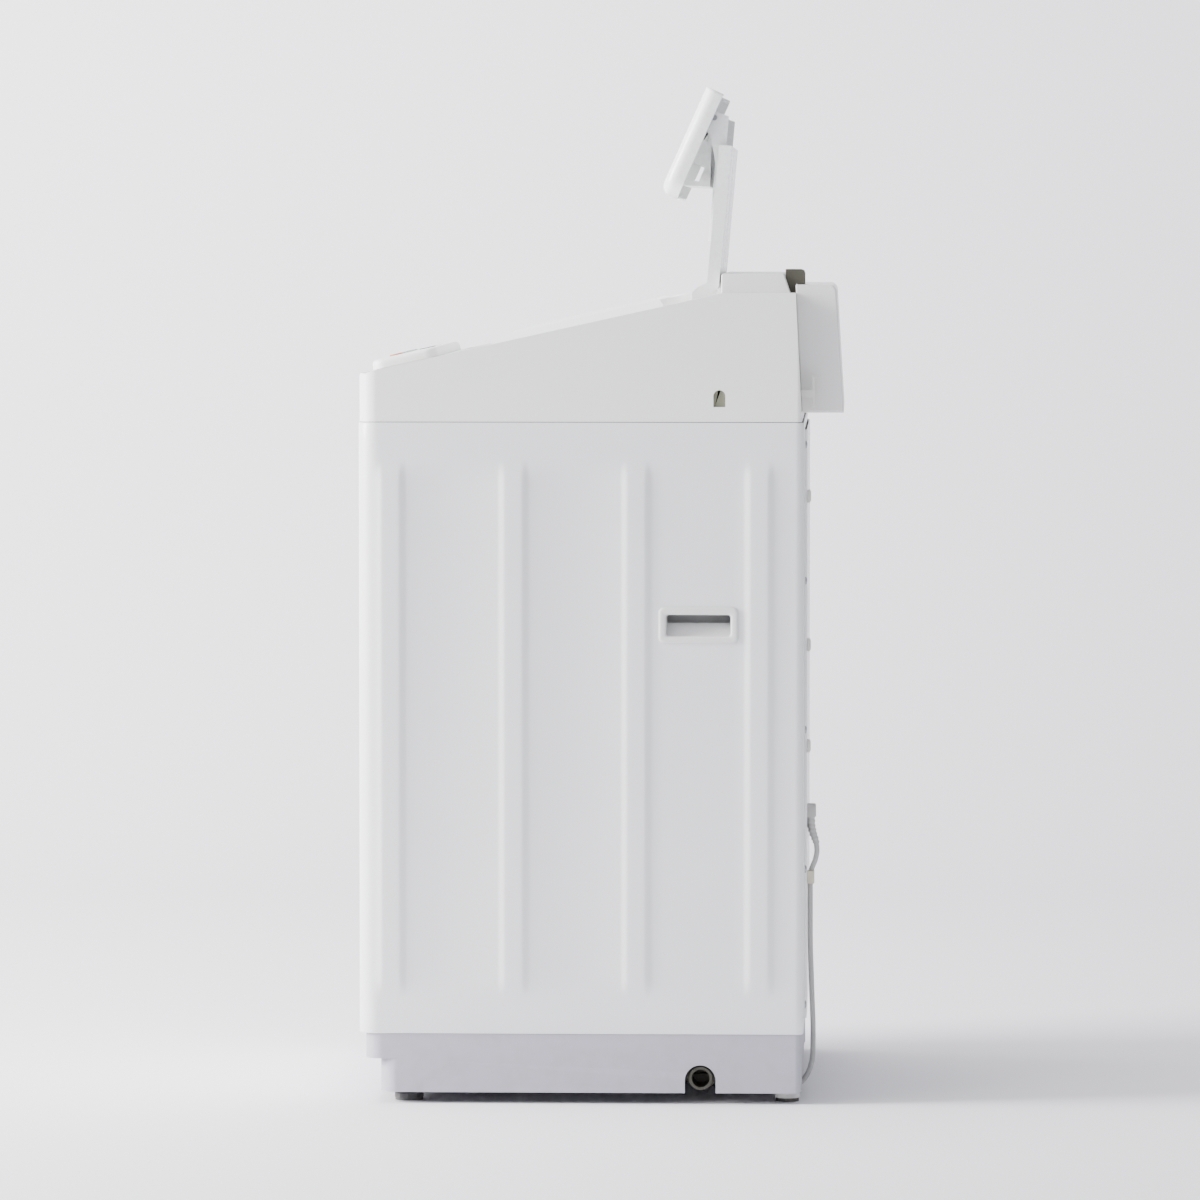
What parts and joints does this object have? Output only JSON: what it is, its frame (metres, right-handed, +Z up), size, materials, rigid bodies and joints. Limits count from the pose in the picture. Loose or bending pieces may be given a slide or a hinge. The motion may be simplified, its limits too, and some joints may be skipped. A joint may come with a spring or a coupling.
{
  "type": "top load washing machine",
  "caption": "Compact top load washing machine with a two-panel folding lid, spinning basket and pulsator, belt drive, hung tub, carry handles and levelling feet.",
  "frame": {"origin": "on the floor, under the middle of the machine's outer box, power cord left out", "axes": "+Z up, -Y towards the front (control panel), +X to the right of someone standing in front and facing the control panel"},
  "size_m": [0.6465, 0.519, 1.0892],
  "materials": {
    "cabinet_white": "satin powder coat",
    "cover_white": "semi-gloss moulded",
    "lid_white": "semi-gloss moulded",
    "trim_white": "fine satin",
    "base_grey": "fine satin",
    "handle_white": "fine satin",
    "dark_grey": "moulded",
    "display_black": "clear gloss",
    "board_green": "solder mask",
    "button_grey": "satin",
    "button_orange": "satin",
    "steel": "satin stainless",
    "basket_steel": "stainless sheet",
    "cast_alloy": "cast",
    "frame_steel": "zinc grey",
    "tub_plastic": "moulded",
    "ring_plastic": "moulded",
    "pulsator_blue": "moulded",
    "filter_white": "moulded",
    "motor_grey": "enamel",
    "spring_steel": "oiled",
    "pad_rubber": "matte",
    "foot_grey": "moulded",
    "belt_rubber": "matte",
    "valve_white": "moulded",
    "clamp_ivory": "nylon",
    "cord_grey": "matte sheath"
  },
  "bodies": {
    "root": {"cabinet": "cabinet_white", "base": "base_grey", "top_cover": "cover_white", "control_fascia": "cover_white", "display_window": "display_black", "control_board": "board_green", "lid_hinge_pins": "steel", "rear_cover": "cover_white", "rear_box": "cover_white", "inlet_port": "dark_grey", "inlet_valve": "valve_white", "fill_spout": "tub_plastic", "drain_outlet": "dark_grey", "suspension_rods": "steel", "rod_hangers": "frame_steel", "suspension_springs": "spring_steel", "handle_cups": "handle_white", "back_panel": "cabinet_white", "cable_clips": "trim_white", "hose_hooks": "trim_white", "rear_feet": "trim_white", "rear_foot_pads": "pad_rubber", "cord_clamp": "clamp_ivory", "cord_gland": "cord_grey", "power_cord": "cord_grey", "power_cord_coil": "cord_grey", "power_plug": "cord_grey"},
    "tub_unit": {"tub": "tub_plastic", "tub_cover": "tub_plastic", "clutch_housing": "cast_alloy", "drive_frame": "frame_steel", "motor": "motor_grey", "drive_belt": "belt_rubber", "run_capacitor": "valve_white", "drain_valve": "valve_white"},
    "basket_unit": {"basket": "basket_steel", "basket_base": "cast_alloy", "balance_ring": "ring_plastic", "spin_shaft": "steel"},
    "filter_unit": {"lint_filter": "filter_white"},
    "pulsator_unit": {"pulsator": "pulsator_blue", "pulsator_screw": "steel", "wash_shaft": "steel", "drive_pulley": "cast_alloy"},
    "motor_rotor": {"motor_pulley": "cast_alloy"},
    "lid_rear": {"lid_rear_panel": "lid_white", "lid_rear_liner": "lid_white", "lid_fold_pins": "steel"},
    "lid_front": {"lid_front_panel": "lid_white", "lid_front_tray": "lid_white", "lid_bumpers": "trim_white"},
    "foot_left": {"levelling_foot_left": "foot_grey"},
    "foot_right": {"levelling_foot_right": "foot_grey"},
    "power_on_button_body": {"power_on_button": "button_orange"},
    "power_off_button_body": {"power_off_button": "button_grey"},
    "start_button_body": {"start_button": "button_grey"},
    "course_button_body": {"course_button": "button_grey"},
    "water_level_button_body": {"water_level_button": "button_grey"},
    "timer_button_body": {"timer_button": "button_grey"}
  },
  "joints": [
    {"name": "lid_rear_hinge", "type": "hinge", "parent": "root", "child": "lid_rear", "pos_m": [0, 0.1182, 0.877], "axis": [1, 0, 0], "range_deg": [0, 106.6]},
    {"name": "lid_fold_hinge", "type": "hinge", "parent": "lid_rear", "child": "lid_front", "pos_m": [0, 0.12001, 1.05595], "axis": [1, 0, 0], "range_deg": [-160.97, 0]},
    {"name": "tub_bounce", "type": "slide", "parent": "root", "child": "tub_unit", "axis": [0, 0, 1], "range_m": [-0.012, 0.008], "stiffness_N_per_m": 20000, "springref_m": 0.0101, "deforming": ["suspension_springs"]},
    {"name": "basket_spin", "type": "hinge", "parent": "tub_unit", "child": "basket_unit", "pos_m": [0, -0.021, 0.45], "axis": [0, 0, 1], "continuous": true},
    {"name": "filter_slide", "type": "slide", "parent": "basket_unit", "child": "filter_unit", "axis": [-1, 0, 0], "range_m": [0, 0.06]},
    {"name": "pulsator_spin", "type": "hinge", "parent": "tub_unit", "child": "pulsator_unit", "pos_m": [0, -0.021, 0.31], "axis": [0, 0, 1], "continuous": true},
    {"name": "motor_spin", "type": "hinge", "parent": "tub_unit", "child": "motor_rotor", "pos_m": [-0.112, 0.019, 0.12], "axis": [0, 0, 1], "continuous": true},
    {"name": "power_on_press", "type": "slide", "parent": "root", "child": "power_on_button_body", "axis": [0, 0.2164, -0.9763], "range_m": [0, 0.001], "stiffness_N_per_m": 800},
    {"name": "power_off_press", "type": "slide", "parent": "root", "child": "power_off_button_body", "axis": [0, 0.2164, -0.9763], "range_m": [0, 0.001], "stiffness_N_per_m": 800},
    {"name": "start_press", "type": "slide", "parent": "root", "child": "start_button_body", "axis": [0, 0.2164, -0.9763], "range_m": [0, 0.001], "stiffness_N_per_m": 800},
    {"name": "course_press", "type": "slide", "parent": "root", "child": "course_button_body", "axis": [0, 0.2164, -0.9763], "range_m": [0, 0.001], "stiffness_N_per_m": 800},
    {"name": "water_level_press", "type": "slide", "parent": "root", "child": "water_level_button_body", "axis": [0, 0.2164, -0.9763], "range_m": [0, 0.001], "stiffness_N_per_m": 800},
    {"name": "timer_press", "type": "slide", "parent": "root", "child": "timer_button_body", "axis": [0, 0.2164, -0.9763], "range_m": [0, 0.001], "stiffness_N_per_m": 800},
    {"name": "foot_left_turn", "type": "hinge", "parent": "root", "child": "foot_left", "pos_m": [-0.225, -0.2075, 0.03], "axis": [0, 0, 1], "range_deg": [-720, 720]},
    {"name": "foot_right_turn", "type": "hinge", "parent": "root", "child": "foot_right", "pos_m": [0.225, -0.2075, 0.03], "axis": [0, 0, 1], "range_deg": [-720, 720]}
  ],
  "couplings": [
    {"joint": "lid_fold_hinge", "follows": "lid_rear_hinge", "ratio": -1.51},
    {"joint": "motor_spin", "follows": "pulsator_spin", "ratio": 4.0909}
  ]
}
